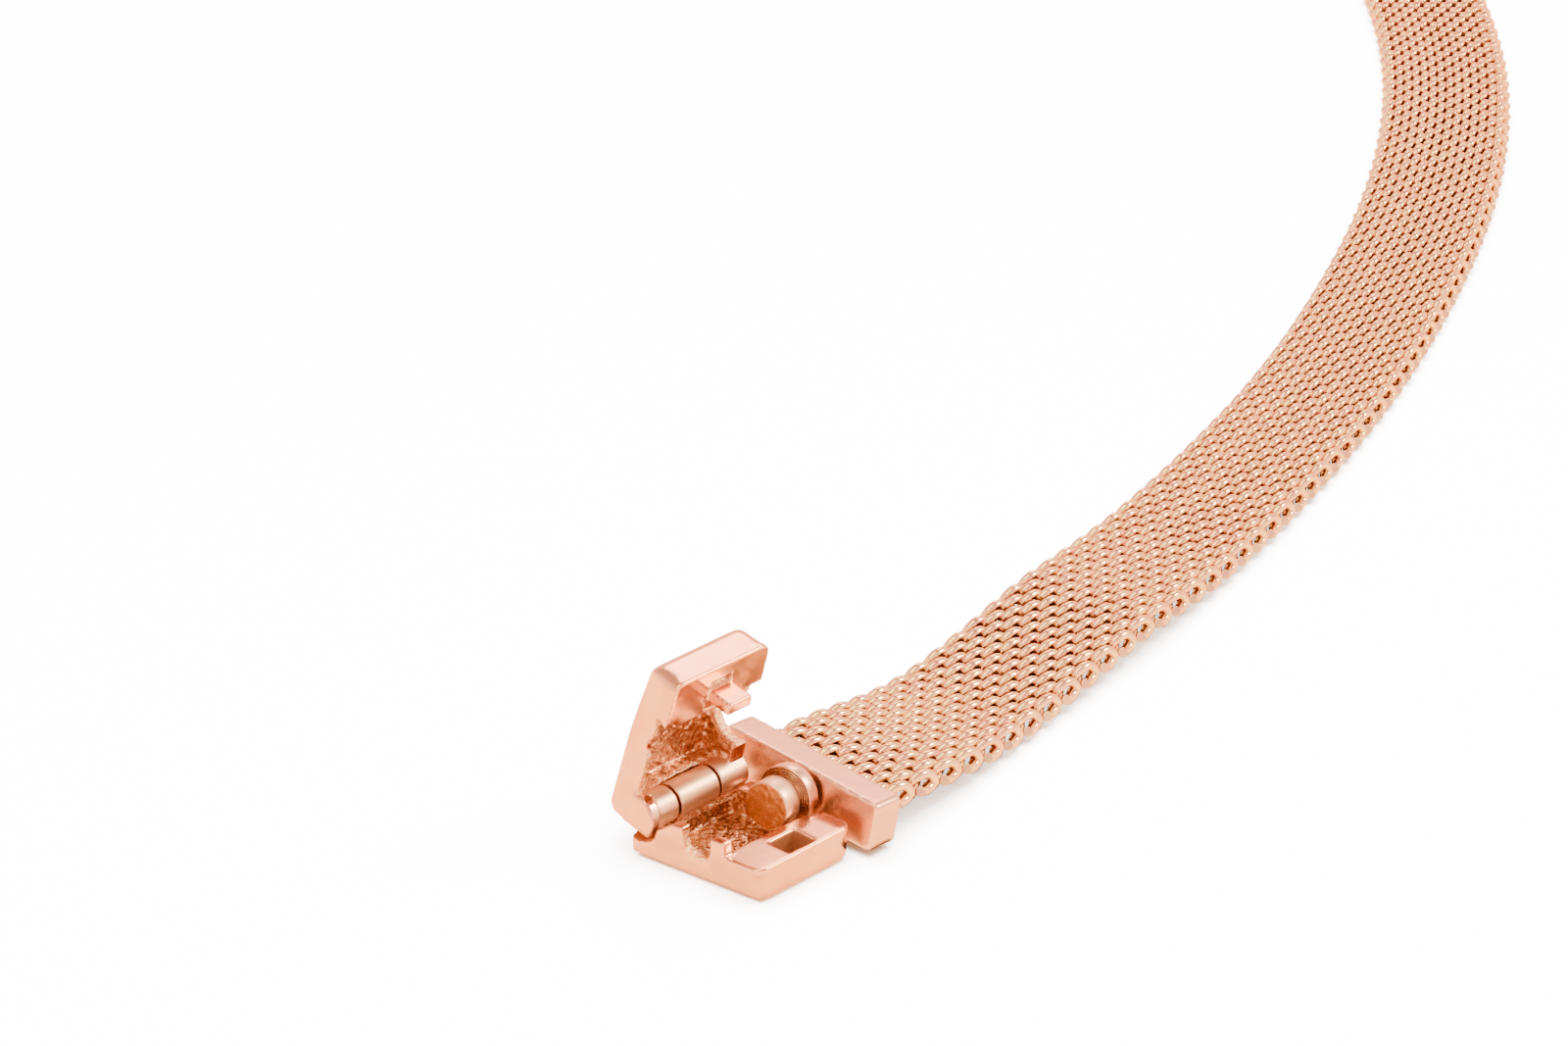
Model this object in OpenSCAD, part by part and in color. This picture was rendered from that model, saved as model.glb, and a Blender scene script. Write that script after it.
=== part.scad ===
// Mesh bracelet, laid open: a woven wire band with an end bar and a round-headed stud at each end,
// and a two-leaf box clasp whose lid swings up on a hinge that runs along the band.
// X runs along the band, +Y is the hinge side, Z is up. Origin: middle of the clasp's flat underside.

/* [Clasp base] */
// Length of the clasp along its opening side
clasp_l = 7.9; // [7.6:0.1:9]
// Width of the clasp base across the band
clasp_w = 9.95; // [9.5:0.05:11]
// Turn of the front end wall seen from above
front_slant = 9.1; // [0:0.1:12]
// Turn of the back end wall seen from above
back_slant = 5.5; // [0:0.1:7]
// Height of the base up to the parting face
base_h = 2.45; // [2.3:0.05:2.6]
// Thickness of the floor
floor_t = 0.6; // [0.4:0.05:0.65]
// Thickness of the front end wall
front_wall = 0.8; // [0.6:0.05:1]
// Thickness of the back end wall
back_wall = 1.23; // [1.21:0.01:1.25]
// Thickness of the wall under the hinge
side_wall = 1.5; // [1.2:0.05:1.8]
// Width of the flat rim on the opening side
rim_w = 2.95; // [2.4:0.05:3]
// How far the front wall stands above the parting face
step_h = 0.95; // [0.5:0.05:1]
// Width of the tooth between the stud notch and the rim
tooth_w = 1; // [0.7:0.05:1.5]
// Radius of the upright corners
corner_r = 0.7; // [0.3:0.05:0.9]
// Radius of the outer bottom and top edges
edge_r = 0.6; // [0.2:0.05:0.8]
// How far the end walls lean in from the parting face to the outer face
lean = 0.35; // [0:0.05:0.5]

/* [Hinge] */
// Distance of the hinge line from the outer hinge side of the base
hinge_inset = 0.76; // [0.7:0.02:0.9]
// Height of the hinge line above the underside
hinge_z = 2.87; // [2.8:0.01:3]
// Diameter of the knuckles
knuckle_d = 2.3; // [2.1:0.05:2.4]
// Diameter of the hinge pin
pin_d = 0.9; // [0.6:0.05:1.1]
// Radius of the lid's rounded front wall around the hinge line
boss_r = 1.4; // [1.35:0.05:1.55]
// Place of the front knuckle's end, from the front of the opening side
front_joint = 1.28; // [0.8:0.02:2]
// Place of the middle knuckle's end, from the front of the opening side
rear_joint = 4.67; // [4:0.02:5.5]
// Gap between neighbouring knuckles
knuckle_gap = 0.1; // [0.06:0.01:0.2]
// Clearance between a knuckle and the leaf that it turns in
turn_gap = 0.1; // [0.08:0.01:0.12]
// Radial clearance of the pin in the lid's bores
pin_gap = 0.04; // [0.02:0.01:0.08]

/* [Lid] */
// Height of the lid above the parting face
lid_h = 3.15; // [2.8:0.05:3.4]
// How much lower the lid is at its free edge
lid_drop = 0.55; // [0.1:0.05:0.8]
// Thickness of the lid's top
lid_t = 0.6; // [0.4:0.05:0.65]
// How far the lid hangs over the base on the hinge side
lid_over = 0.32; // [0.2:0.02:0.36]
// How far the lid hangs over the base on the opening side
lid_lip = 0.3; // [0:0.05:0.4]
// Height of the sloping corner along the lid's hinge side
lid_slope = 1.2; // [0.8:0.1:1.4]
// Height of the lid's hinge side above the hinge line
lid_skirt = 0.35; // [0.3:0.05:0.5]
// Gap between the closed leaves
leaf_gap = 0.05; // [0.03:0.01:0.1]
// Angle that the lid stands open at
open_angle = 79; // [60:1:90]

/* [Catch] */
// Length of the slot in the rim, along the band
slot_l = 2.2; // [1.6:0.05:2.6]
// Width of the slot across the band
slot_w = 1.7; // [1.3:0.05:1.8]
// Distance of the slot from the outer face of the rim
slot_edge = 0.4; // [0.35:0.05:0.6]
// Distance of the slot from the front of the opening side
slot_x = 2.8; // [2:0.05:3.5]
// Thickness of the floor left under the slot
slot_floor = 0.4; // [0.3:0.05:0.45]
// Thickness of the catch tongue
tongue_t = 0.8; // [0.5:0.05:0.9]
// Length of the catch tongue below the lid's parting face
tongue_l = 1.75; // [1.2:0.05:1.8]
// Width of the relief in the lid beside the tongue
relief_w = 0.6; // [0.4:0.05:0.8]
// Depth of the relief in the lid beside the tongue
relief_h = 0.8; // [0.4:0.05:1]
// Clearance of the tongue in the slot
tongue_gap = 0.12; // [0.08:0.01:0.15]

/* [Stud] */
// Distance of the stud's line from the outer face of the rim
stud_y = 4.7; // [4.6:0.05:5]
// Height of the front notch's centre
stud_z = 2.68; // [2.6:0.02:2.8]
// Diameter of the stud's head
head_d = 3.05; // [2.6:0.05:3.1]
// Thickness of the stud's head
head_t = 1.4; // [1:0.05:1.5]
// Diameter of the stud's neck
neck_d = 1.9; // [1.6:0.05:2]
// Diameter of the collar next to the bar
collar_d = 3.8; // [3.4:0.05:3.9]
// Thickness of the collar
collar_t = 1; // [0.9:0.02:1.02]
// Length of the neck between the collar and the head
neck_l = 0.5; // [0.4:0.05:0.9]
// Gap between the bar and the collar, along the neck
collar_off = 0.4; // [0.36:0.01:0.42]
// Turn of the stud away from square to its bar, seen from above
stud_turn = 6.5; // [0:0.5:7]
// Clearance of a stud's neck in its notch
notch_gap = 0.08; // [0.05:0.01:0.1]

/* [End bar] */
// Length of the end bar across the band
bar_l = 12.5; // [11.5:0.1:13]
// Depth of the end bar along the band
bar_d = 2.3; // [2:0.1:2.6]
// Height of the end bar
bar_h = 3.3; // [3:0.1:3.6]
// Radius of the end bar's rounded edges
bar_r = 0.5; // [0.3:0.05:0.8]
// How far the bar reaches further out on the hinge side than on the other
bar_side = 0.8; // [0:0.05:1]
// Turn of the bar seen from above
bar_yaw = 4; // [0:0.5:5]
// Tilt of the bar, band side down
bar_pitch = 6.5; // [0:0.5:7]
// Roll of the bar, opening side down
bar_roll = 4.5; // [0:0.5:5]
// Distance of the bar's face from the back wall of the clasp, on the stud's line
bar_off = 0.75; // [0.7:0.05:0.8]
// Height of the bar's middle
bar_z = 2.5; // [2.4:0.02:2.6]

/* [Mesh band] */
// Length of the woven band between its end bars
band_l = 176; // [150:1:200]
// Width of the woven band
band_w = 10.2; // [9:0.1:10.6]
// Thickness of the woven band
band_t = 1.8; // [1.4:0.1:2]
// Height of the wave that the band makes near the clasp
wave_h = 0.95; // [0:0.05:1.2]
// Height of the band above the bar's middle where they meet
band_lift = 0.5; // [0:0.05:0.6]
// Gap between the band and its end bars
band_gap = 0.06; // [0.05:0.01:0.1]

/* [Hidden] */
$fn = 48;

// Colours
plate_colour = "#F2C3AC";
satin_colour = "#E6C9A4";
mesh_colour = "#E9B899";

// Clasp outline, seen from above
front_x = -clasp_l / 2;
back_x = clasp_l / 2;
open_y = -clasp_w / 2;
side_y = clasp_w / 2;
rim_y = open_y + rim_w;
lid_side_y = side_y + lid_over;
lid_open_y = open_y - lid_lip;
hinge_y = side_y - hinge_inset;
notch_y = open_y + stud_y;
well_y = side_y - side_wall;
big = 4 * clasp_w;

// Heights
lid_top = base_h + lid_h;
wall_top = base_h + step_h;
side_top = hinge_z - knuckle_d / 2 - turn_gap;
rest_gap = 0.02;
slope_run = 0.7 * lid_slope;

// Hinge: where the knuckles meet, and the room that they turn in
front_end = front_x + front_joint;
rear_end = front_x + rear_joint;
clear_r = knuckle_d / 2 + turn_gap;
pin_x = front_at(hinge_y) + front_wall;
end_gap = 0.1;
saddle_y = hinge_y + knuckle_d / 8;
saddle_z = hinge_z - knuckle_d / 4;

// Stud, from the face of its bar
neck_a = collar_off + collar_t;
head_a = neck_a + neck_l;
stud_l = bar_d / 2 + head_a + head_t;
notch_d = neck_d + 2 * notch_gap;
tooth_y = notch_y - notch_d / 2 - tooth_w;

// Slope on top of the front wall, on the hinge side of its notch
slope_y = notch_y + notch_d / 2;
slope_start = 0.7;
slope_end = 2.1;

// Catch tongue's corner
tongue_x = front_x + slot_x + tongue_gap;
tongue_y = open_y + slot_edge + slot_w - tongue_gap;

// Outer faces of the slanted end walls at a place across the band
function front_at(y) = front_x - (y - open_y) * tan(front_slant);
function back_at(y) = back_x - (y - open_y) * tan(back_slant);

// Middle of the end bar on the stud's line
bar_shift = 0.1;
bar_x = back_at(notch_y) + bar_off + bar_d / 2;
bar_y = notch_y + bar_shift;

// Room for the stud in the back wall: a slot for its head, and a wider pocket for its collar
stud_room = 0.35;
room_x = back_at(notch_y) - back_wall;
room_z = bar_z + (bar_x - room_x) * sin(bar_pitch);
room_d = head_d + 2 * stud_room;
pocket_d = collar_d + 2 * stud_room;
pocket_wall = 0.25;

// Heights of the band's middle at its first end, on the table and at its free end
band_z = bar_z - bar_d / 2 * sin(bar_pitch) + band_lift;
rest_z = band_t / 2 + rest_gap;
free_z = bar_h / 2 + rest_gap;

// Band's route on the table, a row for each bend. Columns: share of the length, heading,
// share of the first height, share of the wave, share of the free end's height, share of the roll
route = [
    [0, bar_yaw, 1, 0, 0, 1],
    [0.014, 4.5, 0.93, 0, 0, 1],
    [0.037, 8.5, 0.6, 0, 0, 0.8],
    [0.06, 10.2, 0.23, 0, 0, 0.35],
    [0.082, 10, 0, 0.1, 0, 0],
    [0.116, 10, 0, 0.42, 0, -0.2],
    [0.162, 10.6, 0, 1, 0, 0.2],
    [0.219, 13.3, 0, 0.4, 0, 0.35],
    [0.287, 17.4, 0, 0.2, 0, 0.25],
    [0.355, 19.8, 0, 0, 0, 0],
    [0.44, 24.3, 0, 0, 0, 0],
    [0.526, 27.4, 0, 0, 0, 0],
    [0.611, 32, 0, 0, 0, 0],
    [0.696, 36.9, 0, 0, 0, 0],
    [0.798, 44.4, 0, 0, 0, 0],
    [0.866, 49, 0, 0, 0, 0],
    [0.94, 55, 0, 0, 0.3, 0],
    [1, 60, 0, 0, 1, 0]
];
headings = [for (r = route) [r[0] * band_l, r[1]]];
heights = [for (r = route)
    [r[0] * band_l, rest_z + r[2] * (band_z - rest_z) + r[3] * wave_h + r[4] * (free_z - rest_z)]];
rolls = [for (r = route) [r[0] * band_l, r[5] * bar_roll]];

// Value of a route column, eased over a short window, and how steeply the band climbs
ease = 1.6;
probe = 0.5;
function eased(t, s) = (lookup(s - ease, t) + lookup(s - ease / 2, t) + lookup(s, t)
    + lookup(s + ease / 2, t) + lookup(s + ease, t)) / 5;
function climb(s) = asin((eased(heights, s + probe) - eased(heights, s - probe)) / (2 * probe));

// Directions along and across the band
function along(s) = let (h = eased(headings, s), p = climb(s)) [cos(h) * cos(p), sin(h) * cos(p), sin(p)];
function level(s) = let (h = eased(headings, s)) [-sin(h), cos(h), 0];
function up(s) = cross(along(s), level(s));
function across(s) = let (r = eased(rolls, s)) level(s) * cos(r) + up(s) * sin(r);

// Points of the band's middle line, one for each ring, from just behind the bar
first_bend = 1;
ring_pitch = 2.2;
section_n = 12;
ring_n = round(band_l / ring_pitch);
ring_step = band_l / ring_n;
bar_reach = bar_d / 2 + band_gap + (band_lift + band_t / 2) * sin(bar_pitch) + band_w / 2 * sin(first_bend);
middle = [for (
    i = 0, p = [bar_x + bar_reach * cos(bar_yaw), bar_y + bar_reach * sin(bar_yaw)];
    i <= ring_n;
    p = p + ring_step * [along((i + 0.5) * ring_step)[0], along((i + 0.5) * ring_step)[1]], i = i + 1
) [p[0], p[1], eased(heights, i * ring_step)]];

// Offsets of the rounded band section from its middle: across, and up
section = [for (k = [0:section_n - 1]) let (a = 360 * (k + 0.5) / section_n)
    [sign(cos(a)) * (band_w - band_t) / 2 + cos(a) * band_t / 2, sin(a) * band_t / 2]];

// Outline with each corner rounded, from points that run anticlockwise
arc_n = 6;
function unit(v) = v / norm(v);
function turned(r, a) = r * [cos(a), sin(a)];
function soft(pts, r) = let (m = len(pts)) [for (i = [0:m - 1])
    let (
        a = unit(pts[(i + m - 1) % m] - pts[i]),
        b = unit(pts[(i + 1) % m] - pts[i]),
        half = acos(a * b) / 2,
        c = pts[i] + unit(a + b) * r / sin(half),
        t = pts[i] + a * r / tan(half) - c,
        start = atan2(t[1], t[0])
    )
    for (k = [0:arc_n]) c + turned(r, start + k * (180 - 2 * half) / arc_n)];

// Leaf of the clasp seen from above, from its opening side to its hinge side
module plan(y0, y1) {
    translate([0, 0, -big]) linear_extrude(2 * big) polygon(soft(
        [[front_at(y0), y0], [back_at(y0), y0], [back_at(y1), y1], [front_at(y1), y1]], corner_r));
}

// Profile drawn in Y and Z, run along X
module along_x(x0, x1) {
    translate([x0, 0, 0]) rotate([90, 0, 90]) linear_extrude(x1 - x0) children();
}

// Profile of an end wall that leans in from the parting face to the outer face
module end_profile(z_out, side) {
    run = 3 * clasp_l;
    pts = [[0, base_h - side * big], [0, base_h], [lean, z_out], [run, z_out], [run, base_h - side * big]];
    polygon(soft(side > 0 ? [for (k = [4:-1:0]) pts[k]] : pts, edge_r));
}

// Both slanted ends of a leaf
module ends(z_out, side) {
    intersection() {
        translate([front_x, open_y, 0]) rotate([90, 0, front_slant])
            translate([0, 0, -big]) linear_extrude(2 * big) end_profile(z_out, side);
        translate([back_x, open_y, 0]) rotate([0, 0, back_slant]) mirror([1, 0, 0])
            rotate([90, 0, 0]) translate([0, 0, -big]) linear_extrude(2 * big) end_profile(z_out, side);
    }
}

// Space behind a plane that runs parallel to the slanted front face
module behind_front(inset) {
    translate([front_x, open_y, 0]) rotate([0, 0, front_slant])
        translate([inset, -big, -big]) cube(2 * big);
}

// Space before a plane that runs parallel to the slanted back face
module before_back(inset) {
    translate([back_x, open_y, 0]) rotate([0, 0, back_slant])
        translate([-inset - 2 * big, -big, -big]) cube(2 * big);
}

// Box given by its lowest and highest corners
module span(a, b) {
    translate(a) cube(b - a);
}

// Cylinder along the hinge line
module on_hinge(x0, x1, r) {
    translate([x0, hinge_y, hinge_z]) rotate([0, 90, 0]) cylinder(r = r, h = x1 - x0);
}

// Round channel along X that is open to one side: 1 upwards, -1 downwards
module channel(x0, x1, z, d, side) {
    translate([x0, notch_y, z]) rotate([0, 90, 0]) cylinder(d = d, h = x1 - x0);
    span([x0, notch_y - d / 2, side > 0 ? z : -big], [x1, notch_y + d / 2, side > 0 ? big : z]);
}

// Notch in the front wall for the free stud, with the slot and pocket in the back wall
module notches(side) {
    channel(-big, front_at(notch_y) + 2 * front_wall, stud_z, notch_d, side);
    channel(room_x - pocket_wall, big, room_z, room_d, side);
    difference() {
        channel(room_x - pocket_wall, big, room_z, pocket_d, side);
        before_back(back_wall - pocket_wall);
    }
}

// What lies within a depth of the slanted front face
module front_part(depth) {
    difference() {
        children();
        behind_front(depth);
    }
}

module base_shell() {
    difference() {
        intersection() {
            plan(open_y, side_y);
            ends(0, -1);
            along_x(-big, big) polygon(soft(
                [[open_y, 0], [side_y, 0], [side_y, big], [open_y, big]], edge_r));
        }
        // parting face: flat rim, with the front wall standing above it
        span([-big, -big, wall_top], [big, big, big]);
        span([-big, -big, base_h], [big, tooth_y, big]);
        intersection() {
            behind_front(front_wall);
            span([-big, -big, base_h], [big, big, big]);
        }
        span([-big, well_y, side_top], [big, big, big]);
        // front wall's top slopes down towards the hinge
        along_x(-big, big) polygon([
            [slope_y + slope_start, wall_top], [slope_y + slope_end, base_h],
            [side_y, base_h], [side_y, big], [notch_y, big]
        ]);
        // well
        intersection() {
            behind_front(front_wall);
            before_back(back_wall);
            span([-big, rim_y, floor_t], [big, well_y, big]);
        }
        // hinge: room for the lid's rounded front wall and its knuckles
        on_hinge(-big, big, clear_r);
        front_part(front_wall + turn_gap) on_hinge(-big, big, boss_r + turn_gap);
        notches(1);
        // catch slot
        span([front_x + slot_x, open_y + slot_edge, slot_floor],
            [front_x + slot_x + slot_l, open_y + slot_edge + slot_w, big]);
    }
}

module clasp_base() {
    x0 = front_end + knuckle_gap / 2;
    x1 = rear_end - knuckle_gap / 2;
    color(plate_colour) difference() {
        union() {
            base_shell();
            on_hinge(x0, x1, knuckle_d / 2);
            span([x0, well_y, floor_t], [x1, saddle_y, saddle_z]);
        }
        on_hinge(x0 - end_gap, x1 + end_gap, pin_d / 2 + pin_gap / 2);
    }
}

// Lid in its closed place
module lid_shell() {
    difference() {
        intersection() {
            plan(lid_open_y, lid_side_y);
            ends(lid_top, 1);
            along_x(-big, big) polygon(soft([
                [lid_open_y, -big], [lid_side_y, -big], [lid_side_y, lid_top - lid_slope],
                [lid_side_y - slope_run, lid_top], [notch_y, lid_top], [lid_open_y, lid_top - lid_drop]
            ], edge_r));
        }
        // parting face, with room for the front wall of the base
        span([-big, -big, -big], [big, big, base_h + leaf_gap]);
        difference() {
            span([-big, tooth_y - leaf_gap, -big], [big, big, wall_top + leaf_gap]);
            behind_front(front_wall + leaf_gap);
        }
        // hollow
        intersection() {
            behind_front(front_wall);
            before_back(back_wall);
            span([-big, rim_y, -big], [big, hinge_y - knuckle_d / 3, lid_top - lid_t]);
        }
        // hinge side, cut away below its skirt and around the base's knuckle
        span([-big, hinge_y - clear_r, -big], [big, big, hinge_z + lid_skirt]);
        on_hinge(front_end - knuckle_gap / 2, rear_end + knuckle_gap / 2, clear_r);
        catch_relief();
        notches(-1);
    }
}

// Catch tongue, and the relief that the mould leaves beside it
module catch_tongue() {
    span([tongue_x, tongue_y - tongue_t, base_h - tongue_l],
        [tongue_x + slot_l - 2 * tongue_gap, tongue_y, base_h + lid_t]);
}

module catch_relief() {
    span([tongue_x, tongue_y, base_h - relief_h],
        [tongue_x + slot_l - 2 * tongue_gap, tongue_y + relief_w, base_h + leaf_gap + relief_h]);
}

module closed_lid() {
    difference() {
        union() {
            lid_shell();
            catch_tongue();
            intersection() {
                union() {
                    front_part(front_wall) {
                        on_hinge(-big, big, boss_r);
                        span([-big, hinge_y, hinge_z], [big, lid_side_y, lid_top - lid_slope]);
                    }
                    on_hinge(-big, front_end - knuckle_gap / 2, knuckle_d / 2);
                    on_hinge(rear_end + knuckle_gap / 2, big, knuckle_d / 2);
                }
                plan(lid_open_y, lid_side_y);
                ends(lid_top, 1);
            }
        }
        on_hinge(pin_x - end_gap, big, pin_d / 2 + pin_gap);
    }
}

module clasp_lid() {
    color(plate_colour) translate([0, hinge_y, hinge_z]) rotate([-open_angle, 0, 0])
        translate([0, -hinge_y, -hinge_z]) closed_lid();
}

module hinge_pin() {
    color(satin_colour) on_hinge(pin_x, back_at(hinge_y) - lean - end_gap, pin_d / 2);
}

// End bar with its stud, on the stud's line: the band leaves towards +X, the stud points to -X
module bar_and_stud(side) {
    face = -bar_d / 2;
    mid = side * bar_side / 2;
    intersection() {
        along_x(-bar_d, bar_d) polygon(soft([
            [mid - bar_l / 2, -bar_h / 2], [mid + bar_l / 2, -bar_h / 2],
            [mid + bar_l / 2, bar_h / 2], [mid - bar_l / 2, bar_h / 2]
        ], bar_r));
        translate([0, 0, -bar_h]) linear_extrude(2 * bar_h) polygon(soft([
            [face, mid - bar_l / 2], [-face, mid - bar_l / 2],
            [-face, mid + bar_l / 2], [face, mid + bar_l / 2]
        ], bar_r / 2));
    }
    translate([-stud_l, 0, 0]) rotate([0, 0, stud_turn]) translate([stud_l, 0, 0]) rotate([0, -90, 0]) {
        cylinder(d = neck_d, h = stud_l - head_t / 2);
        translate([0, 0, bar_d / 2 + collar_off]) cylinder(d = collar_d, h = collar_t);
        translate([0, 0, bar_d / 2 + head_a]) cylinder(d = head_d, h = head_t);
    }
}

module end_bar() {
    color(plate_colour) translate([bar_x, bar_y, bar_z]) rotate([bar_roll, bar_pitch, bar_yaw])
        bar_and_stud(1);
}

module free_end_bar() {
    turn = eased(headings, band_l);
    reach = (bar_d / 2 + band_gap) * [cos(turn), sin(turn), 0];
    color(plate_colour) translate([middle[ring_n][0], middle[ring_n][1], free_z] + reach)
        rotate([0, 0, turn + 180]) bar_and_stud(-1);
}

module mesh_band() {
    pts = [for (i = [0:ring_n], q = section) middle[i] + q[0] * across(i * ring_step)
        + q[1] * cross(along(i * ring_step), across(i * ring_step))];
    sides = [for (i = [0:ring_n - 1], k = [0:section_n - 1]) let (
        a = i * section_n + k,
        b = i * section_n + (k + 1) % section_n
    ) [a, b, b + section_n, a + section_n]];
    start = [for (k = [section_n - 1:-1:0]) k];
    end = [for (k = [0:section_n - 1]) ring_n * section_n + k];
    color(mesh_colour) polyhedron(points = pts, faces = concat([start, end], sides), convexity = 4);
}

clasp_base();
clasp_lid();
hinge_pin();
end_bar();
mesh_band();
free_end_bar();
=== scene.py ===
import math

import bpy
import numpy as np
from mathutils import Matrix, Vector, noise


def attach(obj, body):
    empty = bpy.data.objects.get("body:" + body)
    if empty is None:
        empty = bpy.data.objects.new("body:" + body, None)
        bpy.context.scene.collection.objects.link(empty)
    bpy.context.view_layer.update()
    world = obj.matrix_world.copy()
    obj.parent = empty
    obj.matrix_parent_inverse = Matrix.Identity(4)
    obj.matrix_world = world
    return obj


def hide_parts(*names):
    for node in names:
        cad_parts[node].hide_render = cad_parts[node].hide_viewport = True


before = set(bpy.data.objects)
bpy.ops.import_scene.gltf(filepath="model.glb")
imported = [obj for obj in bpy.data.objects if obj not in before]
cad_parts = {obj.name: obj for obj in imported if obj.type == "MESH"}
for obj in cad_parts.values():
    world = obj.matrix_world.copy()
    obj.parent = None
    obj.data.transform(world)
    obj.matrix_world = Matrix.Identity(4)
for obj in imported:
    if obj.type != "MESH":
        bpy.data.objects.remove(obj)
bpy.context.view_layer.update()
print("frame loaded")

mm = 0.001

# The clasp's sizes, the same as the solids', in millimetres and degrees. The joints are where two
# knuckles meet, the notch is for the stud's neck, and the pit is a small cut beside the lid's tongue
clasp = {
    "length": 7.9, "width": 9.95, "frontSlant": 9.1, "backSlant": 5.5, "frontWall": 0.8, "backWall": 1.23,
    "baseHeight": 2.45, "wallTop": 3.4, "rim": 2.95,
    "lidTop": 5.6, "lidDrop": 0.55, "lidLip": 0.3, "lidOver": 0.32, "room": 2.3, "open": 79,
    "hingeY": 4.215, "hingeZ": 2.87, "knuckle": 1.15, "boss": 1.4, "joints": (-2.67, 0.72),
    "notchY": -0.275, "notchZ": 2.68, "notch": 1.03,
    "slotX": (-1.15, 1.05), "slotY": (-4.575, -2.875),
    "pit": {"x": -0.05, "y": -4.1, "halfLong": 0.7, "halfWide": 0.12, "edge": 0.16, "deep": 0.35},
}
openY = -clasp["width"] / 2


def frontAt(y):
    return -clasp["length"] / 2 - (y - openY) * math.tan(math.radians(clasp["frontSlant"]))


def backAt(y):
    return clasp["length"] / 2 - (y - openY) * math.tan(math.radians(clasp["backSlant"]))


# Camera: a long lens, a little above the table, looking past the clasp down the band. The anchor is the
# clasp's nearest corner, and the pixel is where it falls in the frame
camera = {"lens": 108, "sensor": 36, "distance": 279.07, "pitch": 27.5, "facing": (0.7041, 0.7101),
          "anchor": (-3.95, -4.975, 0), "pixel": (775.44, 926.37), "focal": 4800, "frame": (1600, 1067),
          "clipStart": 0.01}


def makeCamera(c):
    forward = Vector((*c["facing"], 0)).normalized()
    right = Vector((forward.y, -forward.x, 0))
    pitch = math.radians(c["pitch"])
    view = forward * math.cos(pitch) - Vector((0, 0, math.sin(pitch)))
    top = forward * math.sin(pitch) + Vector((0, 0, math.cos(pitch)))
    ray = (view * c["focal"] + right * (c["pixel"][0] - c["frame"][0] / 2)
           + top * (c["frame"][1] / 2 - c["pixel"][1])).normalized()
    place = (Vector(c["anchor"]) - ray * c["distance"]) * mm
    data = bpy.data.cameras.new("camera")
    data.lens = c["lens"]
    data.sensor_width = c["sensor"]
    data.clip_start = c["clipStart"]
    thing = bpy.data.objects.new("camera", data)
    thing.matrix_world = Matrix.Translation(place) @ Matrix((right, top, -view)).transposed().to_4x4()
    bpy.context.scene.collection.objects.link(thing)
    bpy.context.scene.camera = thing


makeCamera(camera)
print("camera set")


# Colours are written as sRGB hex and used as linear values
def linear(text):
    channels = [int(text[i:i + 2], 16) / 255 for i in (1, 3, 5)]
    return tuple(v / 12.92 if v <= 0.04045 else ((v + 0.055) / 1.055) ** 2.4 for v in channels) + (1,)


# Adds one node with its settings and links. Stops are a colour ramp's places and colours or greys
def addNode(tree, kind, settings=None, links=None):
    item = tree.nodes.new(kind)
    for key, value in (settings or {}).items():
        if key == "stops":
            while len(item.color_ramp.elements) < len(value):
                item.color_ramp.elements.new(0.5)
            for element, (place, colour) in zip(item.color_ramp.elements, value):
                element.position = place
                element.color = colour if isinstance(colour, tuple) else (colour, colour, colour, 1)
        elif key in item.inputs:
            item.inputs[key].default_value = value
        else:
            setattr(item, key, value)
    for key, source in (links or {}).items():
        tree.links.new(source, item.inputs[key])
    return item


def startMaterial(name):
    material = bpy.data.materials.new(name)
    material.use_nodes = True
    tree = material.node_tree
    tree.nodes.clear()
    place = addNode(tree, "ShaderNodeTexCoord").outputs["Object"]
    shader = addNode(tree, "ShaderNodeBsdfPrincipled", {"Metallic": 1.0})
    # copper in the plate keeps its colour even where the metal is seen edge on
    shader.inputs["Specular Tint"].default_value = linear("#FFD8BC")
    addNode(tree, "ShaderNodeOutputMaterial", links={"Surface": shader.outputs["BSDF"]})
    return material, tree, place, shader


# Rose gold plate over cast brass: gold and copper plated on, then buffed on a soft wheel, which leaves
# warm pink metal with soft bright highlights. Sizes are in millimetres
def makePlate(name, s):
    material, tree, place, shader = startMaterial(name)
    # slow changes in tone where the plating is thicker or thinner
    slow = addNode(tree, "ShaderNodeTexNoise", {"Scale": 1 / (s["toneSize"] * mm), "Detail": 2.0},
                   {"Vector": place}).outputs["Fac"]
    tone = addNode(tree, "ShaderNodeValToRGB", {"stops": [(0.3, linear(s["deep"])),
                                                          (0.7, linear(s["pale"]))]},
                   {"Fac": slow}).outputs["Color"]
    tree.links.new(tone, shader.inputs["Base Color"])
    # haze of the buffing wheel, which makes the highlights soft and uneven
    haze = addNode(tree, "ShaderNodeTexNoise", {"Scale": 1 / (s["hazeSize"] * mm), "Detail": 4.0},
                   {"Vector": place}).outputs["Fac"]
    rough = addNode(tree, "ShaderNodeValToRGB", {"stops": [(0.3, s["rough"][0]), (0.75, s["rough"][1])]},
                    {"Fac": haze}).outputs["Color"]
    tree.links.new(rough, shader.inputs["Roughness"])
    # the casting's slight waviness under the polish
    bump = addNode(tree, "ShaderNodeBump", {"Strength": s["wave"], "Distance": s["waveDepth"] * mm},
                   {"Height": slow})
    tree.links.new(bump.outputs["Normal"], shader.inputs["Normal"])
    return material


plate = makePlate("rose_gold_plate", {"deep": "#D5A284", "pale": "#DDAF93", "toneSize": 2.5,
                                      "hazeSize": 0.9, "rough": (0.12, 0.2), "wave": 0.15, "waveDepth": 0.05})
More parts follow.
